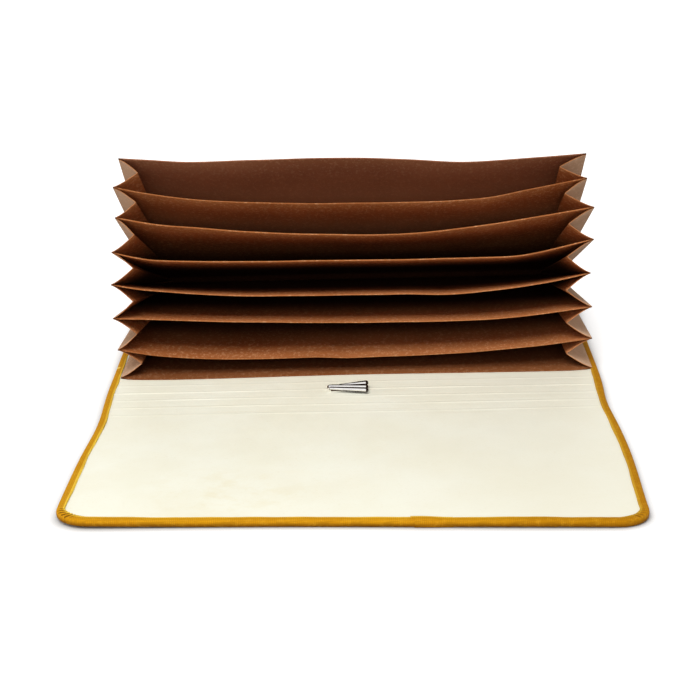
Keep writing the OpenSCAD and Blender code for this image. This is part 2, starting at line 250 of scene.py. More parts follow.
def stations(low, high, step, marks=(), near=(0.0, 0.35, 0.7, 1.1, 1.6, 2.4)):
    """Evenly spaced values from low to high, with more of them close to each mark."""
    count = max(1, round((high - low) / step))
    values = {round(low + (high - low) * i / count, 4) for i in range(count + 1)}
    for mark in marks:
        for gap in near:
            values |= {round(v, 4) for v in (mark - gap, mark + gap) if low < v < high}
    return sorted(values)


def sheet(xs, ys, place):
    """A grid whose vertex in column i and row j goes to place(xs[i], ys[j])."""
    bm = bmesh.new()
    bmesh.ops.create_grid(bm, x_segments=len(xs) - 1, y_segments=len(ys) - 1, size=0.5)
    for v in bm.verts:
        i, j = round((v.co.x + 0.5) * (len(xs) - 1)), round((v.co.y + 0.5) * (len(ys) - 1))
        v.co = place(xs[i], ys[j])
    return bm


def thicken(bm, thickness, back=0):
    """Gives a sheet its thickness, behind its faces, and a material of its own behind and on the rim."""
    bm.normal_update()
    front = set(bm.faces)
    bmesh.ops.solidify(bm, geom=bm.faces[:], thickness=thickness)
    for face in bm.faces:
        if face not in front:
            face.material_index = back
    return bm


def rounded(x, y):
    """Draws the square corner of a layer in to the cover's round corner."""
    for radius, end, sense in corners:
        limit = half_width - radius
        dx, dy = abs(x) - limit, (y - end) * sense
        if dx > 0 and dy > 0:
            k = max(dx, dy) / sqrt(dx * dx + dy * dy)
            return (limit + dx * k) * (1 if x > 0 else -1), end + dy * k * sense
    return x, y


# How high the paper stands up along each score, from the rear one to the front one
score_ridges = (0.10, 0.17, 0.13, 0.13, 0.10)


def lining_height(x, y):
    """Ridges that the scores raise, and the slack of the paper between them."""
    z = lining_top + 0.05 * sin(x / 19 + y / 31) * sin(y / 23)
    for i, score in enumerate(scores):
        strength = score_ridges[i] * (1 + 0.5 * sin(x / 23 + 2.3 * i) * sin(x / 8.7 + i))
        z += strength * bump(y, score + 0.3 * sin(x / 37 + i), 0.6) - 0.03 * bump(y, score + 1.4, 1.1)
    return z


def effect(name, inputs, outputs):
    """An empty shader group, and the sockets inside it: named inputs, given with defaults, and outputs."""
    group = bpy.data.node_groups.new(name, "ShaderNodeTree")
    for title, kind, default in inputs:
        socket = group.interface.new_socket(title, in_out="INPUT", socket_type="NodeSocket" + kind)
        if default is not None:
            socket.default_value = default
    for title, kind in outputs:
        group.interface.new_socket(title, in_out="OUTPUT", socket_type="NodeSocket" + kind)
    return group, put(group, "NodeGroupInput").outputs, put(group, "NodeGroupOutput").inputs


def use(tree, group, **inputs):
    """The outputs of a group that is placed in a material."""
    return put(tree, "ShaderNodeGroup", inputs, node_tree=group).outputs


def mixed(tree, fac, a, b):
    """Two colours mixed by a share."""
    return put(tree, "ShaderNodeMix", {0: fac, 6: a, 7: b}, data_type="RGBA").outputs[2]


def ranged(tree, value, low, high, to_low=0.0, to_high=1.0):
    """A value that passes softly from one level to another, between a low and a high mark."""
    return put(tree, "ShaderNodeMapRange", {0: value, 1: low, 2: high, 3: to_low, 4: to_high},
               interpolation_type="SMOOTHSTEP").outputs[0]


def noise(tree, vector, scale, detail, roughness=0.5):
    """The value of an uneven pattern."""
    return put(tree, "ShaderNodeTexNoise", {"Vector": vector, "Scale": scale, "Detail": detail,
                                            "Roughness": roughness}).outputs["Fac"]


def distance_along(tree, place, axis):
    """How far a point lies along one axis."""
    return put(tree, "ShaderNodeSeparateXYZ", {"Vector": place}).outputs[axis]


# Clouding: soft uneven tone, as on handled and aged paper or cloth
clouding, enter, leave = effect("clouding", (("Vector", "Vector", None), ("Size", "Float", 30.0)),
                                (("Tone", "Float"), ("Fine", "Float")))
broad = noise(clouding, enter["Vector"], enter["Size"], 4.0, 0.6)
small = noise(clouding, enter["Vector"], combined(clouding, "MULTIPLY", enter["Size"], 9.0), 5.0, 0.7)
clouding.links.new(ranged(clouding, broad, 0.3, 0.7), leave["Tone"])
clouding.links.new(ranged(clouding, small, 0.3, 0.7), leave["Fine"])


def surface(name, **fixed):
    """A material with one shader, whose fixed values stand on the shader's own sockets."""
    material = bpy.data.materials.new(name)
    material.use_nodes = True
    tree = material.node_tree
    tree.nodes.clear()
    shader = put(tree, "ShaderNodeBsdfPrincipled", {k.replace("_", " "): v for k, v in fixed.items()})
    put(tree, "ShaderNodeOutputMaterial", {"Surface": shader.outputs[0]})
    return material, tree, shader


def feed(tree, shader, base=None, roughness=None, height=None, strength=0.3, distance=0.0002):
    """Links colour, roughness and relief to a shader."""
    if base is not None:
        tree.links.new(base, shader.inputs["Base Color"])
    if roughness is not None:
        tree.links.new(roughness, shader.inputs["Roughness"])
    if height is not None:
        relief = put(tree, "ShaderNodeBump", {"Height": height, "Strength": strength, "Distance": distance})
        tree.links.new(relief.outputs[0], shader.inputs["Normal"])


ivory, tree, shader = surface("ivory_coating", Specular_IOR_Level=0.35)
place = place_on(tree)
cloud = use(tree, clouding, Vector=place, Size=22.0)
tone = mixed(tree, cloud["Tone"], colour(239, 237, 218), colour(243, 243, 228))
speck = ranged(tree, noise(tree, place, 900.0, 2.0), 0.55, 0.8, 0.0, 0.25)
tone = mixed(tree, speck, tone, colour(226, 218, 190))
# faint darker streaks along the spine: painted shade of the fine ridges that the folding leaves in the
# coating
streak = put(tree, "ShaderNodeMapping", {"Vector": place, "Scale": (9.0, 330.0, 1.0)}).outputs[0]
streak = ranged(tree, noise(tree, streak, 1.0, 4.0, 0.7), 0.5, 0.72)
along_cover = distance_along(tree, place, "Y")
in_spine = combined(tree, "MULTIPLY", ranged(tree, along_cover, -0.104, -0.096),
                    ranged(tree, along_cover, -0.054, -0.05, 1.0, 0.0))
spine_ridge_shade = combined(tree, "MULTIPLY", in_spine, streak)
tone = mixed(tree, ranged(tree, spine_ridge_shade, 0.0, 1.0, 0.0, 0.32), tone, colour(220, 212, 186))
# greyer to the right: painted shade on the side away from the light
ivory_right_shade = ranged(tree, distance_along(tree, place, "X"), -0.02, 0.09, 0.0, 0.5)
tone = mixed(tree, ivory_right_shade, tone, colour(225, 221, 204))
# the faint stain near the front edge, left of the middle
spot = put(tree, "ShaderNodeMapping", {"Vector": place, "Location": (0.98, 5.55, 0.0),
                                       "Scale": (24.0, 32.0, 1.0)}).outputs[0]
reach = put(tree, "ShaderNodeVectorMath", {0: spot}, operation="LENGTH").outputs["Value"]
blotch = ranged(tree, noise(tree, place, 120.0, 5.0, 0.65), 0.45, 0.7, 0.0, 0.28)
stain = combined(tree, "MULTIPLY", ranged(tree, reach, 0.2, 1.0, 1.0, 0.0), blotch)
tone = mixed(tree, stain, tone, colour(226, 214, 172))
gloss = put(tree, "ShaderNodeMapRange", {0: cloud["Fine"], 3: 0.42, 4: 0.56}).outputs[0]
relief = mixed(tree, spine_ridge_shade, cloud["Fine"], (0, 0, 0, 1))
feed(tree, shader, tone, gloss, relief, 0.2, 0.0001)


def lining_point(x, y):
    x, y = rounded(x, y)
    return handled(x, y, lining_height(x, y))


lining_side = half_width - lining_inset
lining_columns = stations(-lining_side, lining_side, 6.0, (-90.0, 90.0), (0.0, 1.5, 3.0))
limits = (rear_edge,) + joins + (front_edge,)
for i in range(4):
    high = limits[i] - (lining_inset if i == 0 else 0.0)
    low = limits[i + 1] + (lining_inset if i == 3 else 0.0)
    rows = stations(low, high, 6.0 if i in (0, 3) else 2.2, scores)
    ply = thicken(sheet(lining_columns, rows, lining_point), lining_thickness)
    lining = finished(ply, "lining_%d" % (i + 1), [ivory])
    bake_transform(lining, parts[i], parts[i + 1],
             start=(0, (folds[i] + 1.6) * MM, 0), end=(0, (folds[i] - 1.6) * MM, 0))
    if i == 0:
        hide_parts("back_cover_lining")
    if i == 3:
        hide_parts("flap_lining")


# Boards
# Grey-brown millboard that stiffens the back leaf, the flap and each strip of the
# spine. It is cut from sheet and shut in between the lining, the skin and the tape.

card, tree, shader = surface("millboard", Roughness=0.9)
stretched = put(tree, "ShaderNodeMapping", {"Vector": place_on(tree), "Scale": (1.0, 1.0, 6.0)}).outputs[0]
cloud = use(tree, clouding, Vector=stretched, Size=150.0)
tone = mixed(tree, cloud["Fine"], colour(150, 130, 106), colour(176, 156, 128))
feed(tree, shader, tone, None, cloud["Fine"], 0.4)

board_inset = 0.5
board_top, board_thickness = 1.56, 1.12
board_side = half_width - board_inset
board_columns = stations(-board_side, board_side, 8.0, (-91.0, 91.0), (0.0, 2.0))
# The rear and the front end of each board, with a narrow gap left at each fold
board_ends = ((rear_edge - board_inset, -59.3), (-59.5, -76.9), (-77.1, -85.7), (-85.9, -94.5),
              (-94.7, front_edge + board_inset))
board_nodes = ("back_cover_board", "spine_strip_1", "spine_strip_2", "spine_strip_3", "flap_board")


def board_point(x, y):
    x, y = rounded(x, y)
    return handled(x, y, board_top)


for i, (high, low) in enumerate(board_ends):
    slab = thicken(sheet(board_columns, stations(low, high, 8.0), board_point), board_thickness)
    board = finished(slab, "board_" + parts[i], [card])
    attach(board, parts[i])
    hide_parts(board_nodes[i])


# Outer skin
# Mustard book cloth glued to the outer side of the boards, over the whole cover. Its
# cut edge meets the turned-in tape all round.

# Weave: plain weave in two thread directions, as a relief and as a mask of the gaps
weave, enter, leave = effect("weave", (("Vector", "Vector", None), ("Threads", "Float", 2600.0)),
                             (("Height", "Float"), ("Gaps", "Float")))
threads = []
for direction in ("X", "Y"):
    thread = {"Vector": enter["Vector"], "Scale": enter["Threads"], "Distortion": 1.2, "Detail": 1.0}
    threads.append(put(weave, "ShaderNodeTexWave", thread, bands_direction=direction).outputs["Fac"])
crossing = combined(weave, "MULTIPLY", threads[0], threads[1])
height = combined(weave, "ADD", crossing, noise(weave, enter["Vector"], 700.0, 2.0))
weave.links.new(height, leave["Height"])
weave.links.new(ranged(weave, crossing, 0.0, 0.35, 1.0, 0.0), leave["Gaps"])

book_cloth, tree, shader = surface("mustard_book_cloth", Roughness=0.85, Specular_IOR_Level=0.15)
place = place_on(tree)
cloud = use(tree, clouding, Vector=place, Size=35.0)
woven = use(tree, weave, Vector=place, Threads=420.0)
tone = mixed(tree, cloud["Tone"], colour(186, 126, 22), colour(204, 144, 30))
tone = mixed(tree, woven["Gaps"], tone, colour(140, 92, 14))
feed(tree, shader, tone, None, woven["Height"], 0.5, 0.00012)

skin_inset = 2.6
skin_top, skin_thickness = 0.4, 0.38
skin_side = half_width - skin_inset
skin_columns = stations(-skin_side, skin_side, 6.0, (-88.0, 88.0), (0.0, 1.5, 3.0))


def skin_point(x, y):
    x, y = rounded(x, y)
    return handled(x, y, skin_top)


for i in range(4):
    high = limits[i] - (skin_inset if i == 0 else 0.0)
    low = limits[i + 1] + (skin_inset if i == 3 else 0.0)
    rows = stations(low, high, 8.0 if i in (0, 3) else 2.2, folds)
    ply = thicken(sheet(skin_columns, rows, skin_point), skin_thickness)
    cloth = finished(ply, "outer_skin_%d" % (i + 1), [book_cloth])
    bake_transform(cloth, parts[i], parts[i + 1],
             start=(0, (folds[i] + 1.6) * MM, 0), end=(0, (folds[i] - 1.6) * MM, 0))
    if i == 0:
        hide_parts("back_cover_skin")
    if i == 3:
        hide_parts("flap_skin")


# Binding tape
# Mustard cloth tape, folded over the raw edge of the cover and glued to the lining and
# to the skin. It is eased round the corners, where it gathers into small pleats.

# Section of the folded tape: distance in from the cover's edge, height
tape_section = (
    (2.74, 2.10), (2.70, 2.36), (2.42, 2.46), (1.70, 2.52), (0.90, 2.50), (0.30, 2.38), (0.03, 2.00),
    (0.00, 1.30), (0.06, 0.70), (0.36, 0.24), (0.95, 0.06), (2.30, 0.05), (2.34, 0.36), (1.00, 0.40),
    (0.44, 0.80), (0.44, 1.66), (0.80, 2.05),
)


def section_verts(bm, x, y, inwards, count=len(tape_section)):
    """The section's first vertices, each with its share of the way round and its distance from the edge."""
    layer = bm.verts.layers.float.new("section")
    inset = bm.verts.layers.float.new("inset")
    ring = []
    for i, (n, z) in enumerate(tape_section[:count]):
        v = bm.verts.new((x + n * inwards[0], y + n * inwards[1], z))
        v[layer], v[inset] = i / (len(tape_section) - 1), n
        ring.append(v)
    return ring


def start_section(bm, x, y):
    """The section as a ring of edges on the left side of the cover."""
    ring = section_verts(bm, x, y, (1, 0))
    return [bm.edges.new((ring[i], ring[(i + 1) % len(ring)])) for i in range(len(ring))]


def run_on(bm, edges, shifts):
    """Extrudes a ring of edges straight on, once for each shift."""
    for shift in shifts:
        grown = bmesh.ops.extrude_edge_only(bm, edges=edges)["geom"]
        edges = [g for g in grown if isinstance(g, bmesh.types.BMEdge)]
        edges = [e for e in edges if all(len(v.link_faces) <= 2 for v in e.verts) and len(e.link_faces) == 1]
        bmesh.ops.translate(bm, vec=shift, verts=list({v for e in edges for v in e.verts}))
    return edges


def turn(bm, edges, centre, angle, steps):
    """Takes a ring of edges round a corner."""
    turned = bmesh.ops.spin(bm, geom=edges, cent=centre, axis=(0, 0, 1), dvec=(0, 0, 0), angle=angle,
                            steps=steps, use_merge=False, use_duplicate=False)
    return [g for g in turned["geom_last"] if isinstance(g, bmesh.types.BMEdge)]


def steps_between(a, b, step, marks=()):
    """Shifts along Y from a to b."""
    values = stations(min(a, b), max(a, b), step, marks)
    if a > b:
        values = values[::-1]
    return [(0, values[i + 1] - values[i], 0) for i in range(len(values) - 1)]


def inward(x, y):
    """Direction from the cover's edge to its inside, and the angle round the nearest corner or None."""
    side = 1 if x > 0 else -1
    for radius, end, sense in corners:
        limit = half_width - radius
        if (y - end) * sense > 0:
            if abs(x) <= limit:
                return Vector((0, -sense, 0)), None
            spoke = Vector((side * limit - x, end - y, 0))
            return spoke.normalized(), atan2(abs(spoke.y), abs(spoke.x))
    return Vector((-side, 0, 0)), None


# The part of the tape's leg that is laid wider or narrower starts this far in from the edge, and is this wide
laid_from, laid_width = 1.5, 1.2


def settle_tape(bm):
    """Widens the turned-in leg where it was laid wider, gathers the corners and bends all to the cover."""
    inset = bm.verts.layers.float["inset"]
    crease_shade = bm.verts.layers.float.new("crease_shade")
    for v in bm.verts:
        x, y, z = v.co
        into, angle = inward(x, y)
        upper = z > lining_top + 0.02
        # about 3 mm wide along the sides and 3.5 mm at the front, but narrow beside the pockets
        ahead = into.y ** 2 if y < -100 else 0.0
        wide = 0.2 + 0.12 * sin(y / 9.3 + (2 if x > 0 else 0)) + 0.08 * sin(y / 3.7 + x / 40)
        wide = wide * (1 - ahead) + ahead * (0.7 + 0.10 * sin(x / 7.0) + 0.06 * sin(x / 2.9))
        wide -= 0.25 * min(1.0, max(0.0, (y + 56) / 6))
        if angle is not None and y < 0:
            wide += (0.9 if x < 0 else 0.5) * sin(2 * angle)
        if upper and v[inset] > laid_from:
            v.co += into * wide * (v[inset] - laid_from) / laid_width
        swell = 0.05 * sin(x / 5.3 + 1) * sin(y / 6.1) + 0.03 * sin(x / 2.1 + y / 1.7)
        if upper:
            v.co.z += swell
        if angle is not None:
            # small folds fan out round a corner, deepest at the left front one, and fade at its front end
            pleated = 1.0 if (x < 0 and y < 0) else 0.4
            pleated *= 1 - 0.8 * smooth_step(angle, 0.75, 1.15)
            fold = sin(angle * 36.0 + 1.2 * sin(angle * 5) + 0.4) * sin(2 * angle) ** 0.35 * pleated
            stroke = smooth_step(v[inset], 0.1 + 0.5 * sin(angle * 11 + 1), 1.2 + 0.6 * sin(angle * 7))
            # the valley of each small fold is marked for painted shade
            v[crease_shade] = max(0.0, -fold) * stroke * (0.8 + 0.2 * sin(angle * 9))
            if upper:
                v.co.z += 0.14 * fold
            else:
                v.co += into * 0.10 * (1 - fold)
        v.co = handled(*v.co)
    bmesh.ops.recalc_face_normals(bm, faces=bm.faces[:])


def close_ends(bm):
    """Closes the two ends of a length of tape."""
    rim = [e for e in bm.edges if len(e.link_faces) == 1]
    bmesh.ops.holes_fill(bm, edges=rim, sides=0)


def marked(tree, name):
    """The value that is written on a piece's own vertices."""
    return put(tree, "ShaderNodeAttribute", attribute_name=name).outputs["Fac"]


tape_cloth, tree, shader = surface("mustard_tape", Roughness=0.8, Specular_IOR_Level=0.12)
place = place_on(tree)
# across the section: a painted highlight along its inner edge, ochre on top and over the fold, and painted
# shade where it turns under
tape_section_light_shade = put(tree, "ShaderNodeValToRGB", {"Fac": marked(tree, "section")})
stops = tape_section_light_shade.color_ramp.elements
stops[0].position, stops[0].color = 0.02, colour(255, 226, 92)
stops[1].position, stops[1].color = 0.62, colour(120, 74, 6)
for at, shade in ((0.135, colour(252, 210, 72)), (0.165, colour(206, 148, 24)), (0.28, colour(206, 147, 22)),
                  (0.40, colour(200, 140, 14)), (0.46, colour(150, 98, 4))):
    stops.new(at).color = shade
cloud = use(tree, clouding, Vector=place, Size=60.0)
woven = use(tree, weave, Vector=place, Threads=520.0)
clouded = ranged(tree, cloud["Tone"], 0.0, 1.0, 0.0, 0.35)
tone = mixed(tree, clouded, tape_section_light_shade.outputs["Color"], colour(186, 122, 12))
# darker to the right: painted shade on the side away from the light
tape_right_shade = ranged(tree, distance_along(tree, place, "X"), 0.01, 0.085, 0.0, 0.55)
tone = mixed(tree, tape_right_shade, tone, colour(156, 100, 0))
tone = mixed(tree, ranged(tree, cloud["Fine"], 0.5, 1.0, 0.0, 0.25), tone, colour(232, 176, 50))
# painted shade in the valleys of the small folds round the corners
tone = mixed(tree, ranged(tree, marked(tree, "crease_shade"), 0.05, 0.4, 0.0, 0.85), tone, colour(70, 42, 4))
tone = mixed(tree, ranged(tree, woven["Gaps"], 0.0, 1.0, 0.0, 0.3), tone, colour(120, 76, 6))
# a dark spot on the front edge, the painted shade of a dent, and a bright spot on the left one
for at, size, shade in (((-0.0109, -0.2035, 0.0012), 0.0016, colour(70, 44, 8)),
                        ((-0.0945, -0.0370, 0.0024), 0.0013, colour(255, 226, 110))):
    gap = put(tree, "ShaderNodeVectorMath", {0: place, 1: at}, operation="DISTANCE").outputs["Value"]
    tone = mixed(tree, ranged(tree, gap, size * 0.4, size, 0.8, 0.0), tone, shade)
feed(tree, shader, tone, None, woven["Height"], 0.35, 0.0001)

# Steps round each corner, and along the straight edge between two corners
corner_steps, edge_steps = 72, 58
for i in range(4):
    bm = bmesh.new()
    if i in (0, 3):
        first = joins[0] if i == 0 else joins[2]
        radius, last, sense = corners[1] if i == 0 else corners[0]
        edges = start_section(bm, -half_width, first)
        edges = run_on(bm, edges, steps_between(first, last, 4.0, folds))
        edges = turn(bm, edges, (-half_width + radius, last, 0), -sense * pi / 2, corner_steps)
        edges = run_on(bm, edges, [(2 * (half_width - radius) / edge_steps, 0, 0)] * edge_steps)
        edges = turn(bm, edges, (half_width - radius, last, 0), -sense * pi / 2, corner_steps)
        run_on(bm, edges, steps_between(last, first, 4.0, folds))
    else:
        high, low = joins[i - 1], joins[i]
        edges = start_section(bm, -half_width, low)
        run_on(bm, edges, steps_between(low, high, 2.0, folds))
        mirrored = bmesh.ops.duplicate(bm, geom=bm.verts[:] + bm.edges[:] + bm.faces[:])["geom"]
        bmesh.ops.scale(bm, vec=(-1, 1, 1), verts=[g for g in mirrored if isinstance(g, bmesh.types.BMVert)])
    close_ends(bm)
    settle_tape(bm)
    tape = finished(bm, "binding_%d" % (i + 1), [tape_cloth])
    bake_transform(tape, parts[i], parts[i + 1],
             start=(0, (folds[i] + 1.8) * MM, 0), end=(0, (folds[i] - 1.8) * MM, 0))
    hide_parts(*(("back_cover_tape", "spine_tape_1"), ("spine_tape_2",), ("spine_tape_3",),
                        ("flap_tape",))[i])

# The tape's loose end, laid over its other end on the front edge: the section's upper part alone
lap_start, lap_step, lap_steps = 20.0, 1.2, 10
upper_count = 10
lap_thickness, lap_sink = 0.22, 0.26
bm = bmesh.new()
ring = section_verts(bm, lap_start, front_edge, (0, 1), upper_count)
edges = [bm.edges.new(pair) for pair in zip(ring, ring[1:])]
run_on(bm, edges, [(lap_step, 0, 0)] * lap_steps)
inset = bm.verts.layers.float["inset"]
for v in bm.verts:
    # its one loose end stands a tape's thickness up, the other runs into the tape
    sunk = lap_sink * smooth_step(v.co.x, lap_start + 3.0, lap_start + 11.5)
    if v[inset] > 0.5:
        v.co.z -= sunk
    else:
        v.co.y += sunk
    v.co.x -= 0.5 * (1 - smooth_step(v.co.x, lap_start, lap_start + 3.0)) * v[inset]
settle_tape(bm)
bmesh.ops.reverse_faces(bm, faces=bm.faces[:])
lap = finished(thicken(bm, lap_thickness), "binding_lap", [tape_cloth])
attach(lap, "flap")
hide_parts("flap_tape_lap")


# Pocket panels
# Eight panels of reddish brown kraft paper, all as deep as the pockets, cut square at
# the mouth. Each is hinged at the closed end, and hangs a little between its sides.

# Panels are numbered from the front one, 0, to the back one, 7, and pocket i lies between panels i - 1 and i
# How far pockets 1 to 7 stand open, in degrees, after a first value that stands for none
pocket_open = (0, 4.3, 4.9, 5.4, 5.4, 5.5, 5.1, 4.6)
pocket_step = 3.2
panel_half = 92.5
panel_depth = 104.0
back_hinge = 55.4
paper = 0.45
panel_nodes = ("front_panel",) + tuple("divider_%d" % k for k in range(1, 7)) + ("back_panel",)
panel_bodies = panel_nodes[:7] + ("back_cover",)
# The line of each mouth: distance across the panel, and how far it has sagged or risen
mouths = (
    ((-92.5, 1.2), (-80.0, 0.2), (-65.0, -1.0), (-40.0, -0.9), (-8.0, -0.6), (20.0, -1.9), (45.0, -3.6),
     (74.0, -2.4), (92.5, -1.2)),
    ((-92.5, 0.3), (-80.0, -2.6), (-59.0, -5.9), (-39.0, -7.3), (0.0, -8.6), (50.0, -7.9), (70.0, -4.5),
     (92.5, -0.3)),
    ((-92.5, 0.0), (-76.0, -3.2), (-59.0, -5.0), (-40.0, -6.8), (-8.0, -8.7), (19.0, -9.0), (50.0, -6.4),
     (92.5, 0.0)),
    ((-92.5, -0.6), (-86.0, -2.4), (-75.0, -4.3), (-40.0, -5.4), (0.0, -5.8), (50.0, -5.9), (66.0, -5.2),
     (92.5, 0.4)),
    ((-92.5, -0.3), (-79.0, -2.7), (-40.0, -5.7), (18.0, -6.2), (37.0, -6.8), (54.0, -5.6), (76.0, -2.9),
     (92.5, 0.3)),
    ((-92.5, -0.4), (-79.0, -0.9), (-40.0, -2.8), (-1.0, -3.7), (38.0, -4.0), (65.0, -2.8), (92.5, 0.3)),
    ((-92.5, -0.4), (-76.0, -3.1), (-53.0, -4.8), (-37.0, -5.1), (-14.0, -4.8), (-2.0, -5.3), (34.0, -4.6),
     (70.0, -2.3), (92.5, 0.3)),
    ((-92.5, 0.1), (-60.0, 0.0), (0.0, 0.1), (60.0, 0.0), (92.5, 0.1)),
)
# How far the back panel's mouth runs on over the lining
back_mouth_reach = ((-92.5, 1.2), (-88.0, 3.0), (-69.0, 3.9), (-6.0, 2.4), (40.0, 2.6), (80.0, 3.0),
                    (88.0, 2.4), (92.5, 0.9))
# How far the left and the right end of each mouth stand out past the panel's own width
flares = ((-1.2, -0.1), (0.7, -0.3), (-0.2, 2.0), (1.2, 1.4), (1.8, -0.1), (1.5, 0.3), (0.1, 0.3),
          (-0.6, 0.4))


def tilt(k):
    """How steeply panel k stands, with every pocket under it open."""
    return radians(sum(pocket_open[k + 1:]))


def hinge(k):
    """Where panel k is hinged at the closed end: its y and z."""
    y, z = back_hinge, lining_top
    for j in range(7, k, -1):
        y, z = y + pocket_step * sin(tilt(j)), z + pocket_step * cos(tilt(j))
    return y, z


def on_panel(k, x, r, z):
    """The place of a point of panel k: across it, out from its hinge, and above its underside."""
    y0, z0 = hinge(k)
    return Vector((x, y0 - r * cos(tilt(k)) + z * sin(tilt(k)), z0 + r * sin(tilt(k)) + z * cos(tilt(k))))


def curve_at(points, x):
    """Value at a distance across the panel, on a smooth curve through points."""
    j = max(i for i in range(len(points) - 1) if x >= points[i][0] or i == 0)
    slopes = []
    for i in (j, j + 1):
        a, b = points[max(0, i - 1)], points[min(len(points) - 1, i + 1)]
        slopes.append((b[1] - a[1]) / (b[0] - a[0]))
    (x0, z0), (x1, z1) = points[j], points[j + 1]
    w, s = x1 - x0, (x - x0) / (x1 - x0)
    return ((2 * s ** 3 - 3 * s * s + 1) * z0 + (s ** 3 - 2 * s * s + s) * w * slopes[0]
            + (3 * s * s - 2 * s ** 3) * z1 + (s ** 3 - s * s) * w * slopes[1])


def panel_point(k, x, r, z=0.0):
    """A point of the sagging panel: the sag grows from the closed end to the mouth."""
    out = r / panel_depth
    left, right = flares[k]
    share = (x / panel_half + 1) / 2
    spread = (-left * (1 - share) ** 3 + right * share ** 3) * out
    drop = curve_at(mouths[k], x) * out
    if k == 7:
        r += curve_at(back_mouth_reach, x) * out ** 5
        x, rear = rounded(x, hinge(7)[0] - r)
        r = hinge(7)[0] - rear
    edge = 1 - (x / panel_half) ** 2
    ripple = edge * out * (0.08 * sin(x / 9.3 + k) + 0.03 * sin(x / 4.1 + 2 * k)) * (0.3 if k == 7 else 1)
    return on_panel(k, x + spread, r, z + drop + ripple)


# Fibres: short flecks and a felted relief, as on rough wrapping paper
fibres, enter, leave = effect("fibres", (("Vector", "Vector", None), ("Size", "Float", 500.0)),
                              (("Flecks", "Float"), ("Height", "Float")))
drawn = put(fibres, "ShaderNodeMapping", {"Vector": enter["Vector"], "Rotation": (0, 0, 0.35),
                                          "Scale": (1.0, 0.5, 0.8)}).outputs[0]
fleck = noise(fibres, drawn, enter["Size"], 4.0, 0.75)
felt = noise(fibres, drawn, enter["Size"], 6.0, 0.8)
fibres.links.new(ranged(fibres, fleck, 0.5, 0.64), leave["Flecks"])
fibres.links.new(felt, leave["Height"])


def paper_surface(name, dark, light, fleck_shade, rim_shade, deep_shade_colour=None):
    """Kraft paper: clouded, flecked, paler where the cut edge is worn, and darker with painted shade where
    the rim value is below 0; given a deep shade colour, it also gets painted shade deep in the pocket, and
    painted light where the deep value is below 0.
    """
    material, tree, shader = surface(name, Roughness=0.95, Specular_IOR_Level=0.06)
    place = place_on(tree)
    cloud = use(tree, clouding, Vector=place, Size=16.0)
    fibre = use(tree, fibres, Vector=place, Size=800.0)
    tone = mixed(tree, cloud["Tone"], dark, light)
    tone = mixed(tree, combined(tree, "MULTIPLY", fibre["Flecks"], 0.55), tone, fleck_shade)
    rim = marked(tree, "rim")
    worn = combined(tree, "MULTIPLY", rim, ranged(tree, cloud["Fine"], 0.0, 1.0, 0.5, 1.0))
    tone = mixed(tree, worn, tone, rim_shade)
    # painted light deep in the pocket where the deep value is below 0, and painted shade where it is above
    if deep_shade_colour is not None:
        deep = marked(tree, "deep")
        deep_light = combined(tree, "MULTIPLY", deep, -1.0, use_clamp=True)
        tone = mixed(tree, deep_light, tone, colour(214, 158, 118))
        tone = mixed(tree, deep, tone, deep_shade_colour)
    # painted shade on the cut edge and at the mouth's ends, where the rim value is below 0
    painted_edge_shade = combined(tree, "MULTIPLY", rim, -1.0, use_clamp=True)
    tone = mixed(tree, painted_edge_shade, tone, colour(46, 24, 14))
    feed(tree, shader, tone, None, fibre["Height"], 0.7, 0.0003)
    return material


kraft_inside = paper_surface("kraft_inside", colour(156, 92, 50), colour(174, 110, 66), colour(212, 158, 114),
                             colour(190, 134, 92), colour(62, 30, 16))
kraft_front = paper_surface("kraft_front", colour(136, 86, 60), colour(152, 101, 73), colour(176, 128, 98),
                            colour(190, 140, 104), colour(62, 30, 16))
# a dark copy of the kraft: painted shade for the inner side of the closed ends, deep in the pockets
kraft_painted_shade = paper_surface("kraft_painted_shade", colour(40, 20, 11), colour(48, 25, 14), colour(58, 32, 20),
                           colour(48, 25, 14))
kraft_outside = paper_surface("kraft_outside", colour(186, 150, 122), colour(202, 168, 140),
                              colour(214, 182, 154), colour(214, 178, 146))


def mark(bm, name, test):
    """Writes a value on each vertex, which the piece's material reads."""
    layer = bm.verts.layers.float.new(name)
    for v in bm.verts:
        v[layer] = test(v)


# How much painted shade darkens each mouth's cut edge, from the front panel to the back one
edge_shade = (0.0, 0.2, 0.0, 0.0, 0.0, 0.0, 0.1, 0.0)
# How much painted shade darkens each panel deep in its pocket, or how much painted light brightens it below
# 0, and how far out from the closed end it starts and ends to fade
deep_shade_and_light = ((-0.5, 45.0, 100.0), (-0.5, 45.0, 95.0), (0.6, 20.0, 60.0), (0.95, 40.0, 80.0), (0.95, 50.0, 92.0),
         (0.95, 45.0, 88.0), (0.9, 45.0, 92.0), (0.84, 76.0, 140.0))


def mouth_shade(k, x, r):
    """How much painted shade a panel gets along its cut edge, and at the two ends of its mouth."""
    ends = 0.9 * smooth_step(abs(x), 89.0, 92.0) * smooth_step(r, 101.0, 103.5)
    return max(edge_shade[k] * max(0.0, (r - 103.3) / 0.7), ends)


